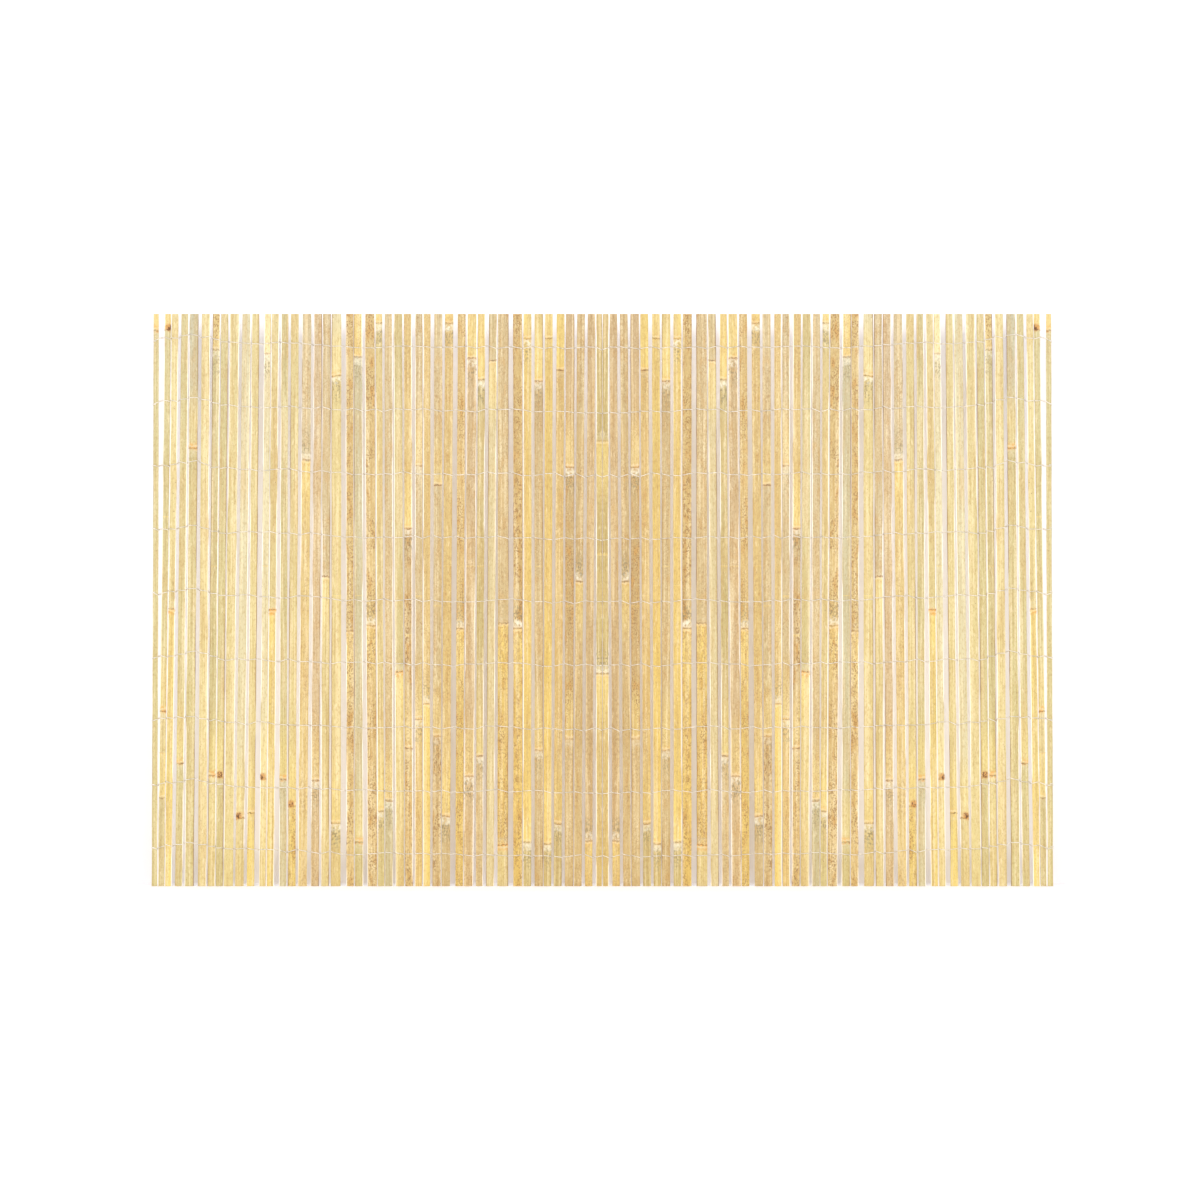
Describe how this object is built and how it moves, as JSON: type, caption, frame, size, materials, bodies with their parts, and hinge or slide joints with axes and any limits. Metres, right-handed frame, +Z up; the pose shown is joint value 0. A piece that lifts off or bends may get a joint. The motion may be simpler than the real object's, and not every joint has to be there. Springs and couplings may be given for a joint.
{
  "type": "bamboo fence panel",
  "caption": "Upright panel of split bamboo slats, bark side out, bound side by side with small gaps by rows of thin doubled wire; fixed to posts as a light fence or screen.",
  "frame": {"origin": "middle of the panel's foot: half way along its width and its depth, at the slats' lower ends", "axes": "+X along the panel's width, to the right seen from the bark side; +Y to the back (pith side); +Z up along the slats"},
  "size_m": [1.5776, 0.008, 1.0001],
  "materials": {
    "split_bamboo": "natural dry bamboo, satin bark, bare split faces",
    "binding_wire": "galvanised"
  },
  "bodies": {
    "root": {"binding_wire_1": "binding_wire", "binding_wire_2": "binding_wire", "binding_wire_3": "binding_wire", "binding_wire_4": "binding_wire", "binding_wire_5": "binding_wire", "binding_wire_6": "binding_wire", "binding_wire_7": "binding_wire", "binding_wire_8": "binding_wire", "binding_wire_9": "binding_wire", "slat_pair_01": "split_bamboo", "slat_pair_02": "split_bamboo", "slat_pair_03": "split_bamboo", "slat_pair_04": "split_bamboo", "slat_pair_05": "split_bamboo", "slat_pair_06": "split_bamboo", "slat_pair_07": "split_bamboo", "slat_pair_08": "split_bamboo", "slat_pair_09": "split_bamboo", "slat_pair_10": "split_bamboo", "slat_pair_11": "split_bamboo", "slat_pair_12": "split_bamboo", "slat_pair_13": "split_bamboo", "slat_pair_14": "split_bamboo", "slat_pair_15": "split_bamboo", "slat_pair_16": "split_bamboo", "slat_pair_17": "split_bamboo", "slat_pair_18": "split_bamboo", "slat_pair_19": "split_bamboo", "slat_pair_20": "split_bamboo", "slat_pair_21": "split_bamboo", "slat_pair_22": "split_bamboo", "slat_pair_23": "split_bamboo", "slat_pair_24": "split_bamboo", "slat_pair_25": "split_bamboo", "slat_pair_26": "split_bamboo", "slat_pair_27": "split_bamboo", "slat_pair_28": "split_bamboo", "slat_pair_29": "split_bamboo", "slat_pair_30": "split_bamboo", "slat_pair_31": "split_bamboo", "slat_pair_32": "split_bamboo", "slat_pair_33": "split_bamboo", "slat_pair_34": "split_bamboo", "slat_pair_35": "split_bamboo", "slat_pair_36": "split_bamboo", "slat_pair_37": "split_bamboo", "slat_pair_38": "split_bamboo", "slat_pair_39": "split_bamboo", "slat_pair_40": "split_bamboo", "slat_pair_41": "split_bamboo", "slat_pair_42": "split_bamboo", "slat_pair_43": "split_bamboo", "slat_pair_44": "split_bamboo"}
  },
  "joints": []
}
